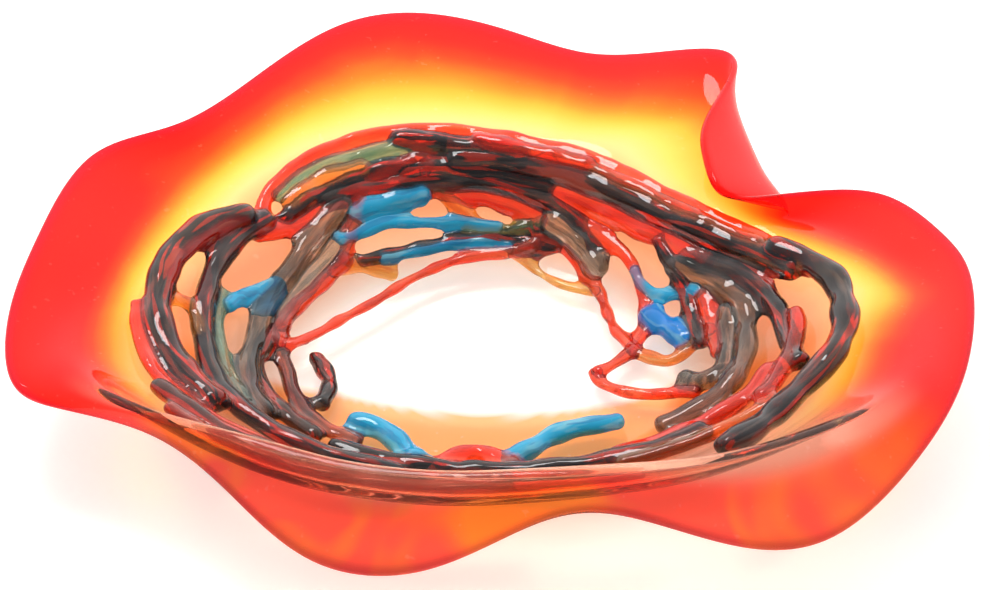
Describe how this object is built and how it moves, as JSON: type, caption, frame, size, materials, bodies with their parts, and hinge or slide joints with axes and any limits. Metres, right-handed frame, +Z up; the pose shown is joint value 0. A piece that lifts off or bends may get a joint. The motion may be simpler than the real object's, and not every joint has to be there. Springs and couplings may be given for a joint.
{
  "type": "art glass bowl",
  "caption": "Wide, ruffled, hand-blown glass bowl with a deep fold in its rim and an openwork nest of fused glass canes inside.",
  "frame": {"origin": "centre of the flat foot's underside", "axes": "+Z up out of the bowl, +X along the longest way across, with the deep fold of the rim towards +X +Y"},
  "size_m": [0.4755, 0.439, 0.0919],
  "materials": {
    "bowl_glass": "polished, clear floor shading through yellow and orange to a red rim",
    "charcoal_glass": "polished, dark smoke grey",
    "grey_glass": "polished, translucent grey",
    "red_glass": "polished, bright red",
    "amber_glass": "polished, amber to orange",
    "turquoise_glass": "polished, turquoise",
    "sea_green_glass": "polished, streaky green and olive"
  },
  "bodies": {
    "root": {"outer_bowl": "bowl_glass", "rim_coil_back_red": "red_glass", "rim_coil_back_orange": "amber_glass", "rim_coil_back_black": "charcoal_glass", "rim_coil_right_dark": "charcoal_glass", "rim_coil_left_dark": "charcoal_glass", "rim_coil_left_red": "red_glass", "rim_coil_left_streak": "red_glass", "rim_coil_front_left": "charcoal_glass", "rim_coil_front_red": "red_glass", "shoulder_teal_strand": "sea_green_glass", "shoulder_amber_bar": "amber_glass", "shoulder_black_bar": "charcoal_glass", "shoulder_red_loop": "red_glass", "shoulder_black_mass": "charcoal_glass", "shoulder_black_loop": "charcoal_glass", "shoulder_red_slab": "red_glass", "inner_coil_back_red": "red_glass", "inner_coil_back_black": "charcoal_glass", "inner_coil_right_red": "red_glass", "inner_coil_right_dark": "charcoal_glass", "inner_coil_right_grey": "grey_glass", "inner_coil_left_dark": "charcoal_glass", "wall_strand_left_grey": "grey_glass", "wall_strand_left_clear": "grey_glass", "wall_strand_left_teal": "sea_green_glass", "wall_turquoise_loop_left": "turquoise_glass", "wall_amber_link_left": "amber_glass", "wall_red_arm_left": "red_glass", "wall_red_post_left": "red_glass", "wall_amber_web_left": "amber_glass", "wall_turquoise_lump_back": "turquoise_glass", "wall_turquoise_bar_back": "turquoise_glass", "wall_black_bar_back": "charcoal_glass", "wall_turquoise_thread_back": "turquoise_glass", "wall_amber_post_back": "amber_glass", "wall_olive_strand_back": "sea_green_glass", "wall_black_loop_back": "charcoal_glass", "wall_grey_slab_right": "grey_glass", "wall_dark_strand_right": "charcoal_glass", "wall_red_post_right": "red_glass", "wall_turquoise_arc_right": "turquoise_glass", "wall_grey_web_right": "grey_glass", "wall_red_cluster_right": "red_glass", "wall_red_coil_front_right": "red_glass", "wall_orange_coil_front_right": "amber_glass", "wall_dark_coil_front": "charcoal_glass", "wall_red_post_front_left": "red_glass", "wall_dark_web_front_left": "charcoal_glass", "floor_red_thread_back": "red_glass", "floor_amber_thread": "amber_glass", "floor_red_loop_left": "red_glass", "floor_red_loop_right": "red_glass", "floor_red_bar_right": "red_glass", "floor_orange_arm_right": "amber_glass", "floor_blue_chip_right": "turquoise_glass", "floor_black_drip_left": "charcoal_glass", "floor_turquoise_chip_left": "turquoise_glass", "floor_turquoise_bar_front": "turquoise_glass", "floor_red_chip_front": "red_glass"}
  },
  "joints": []
}
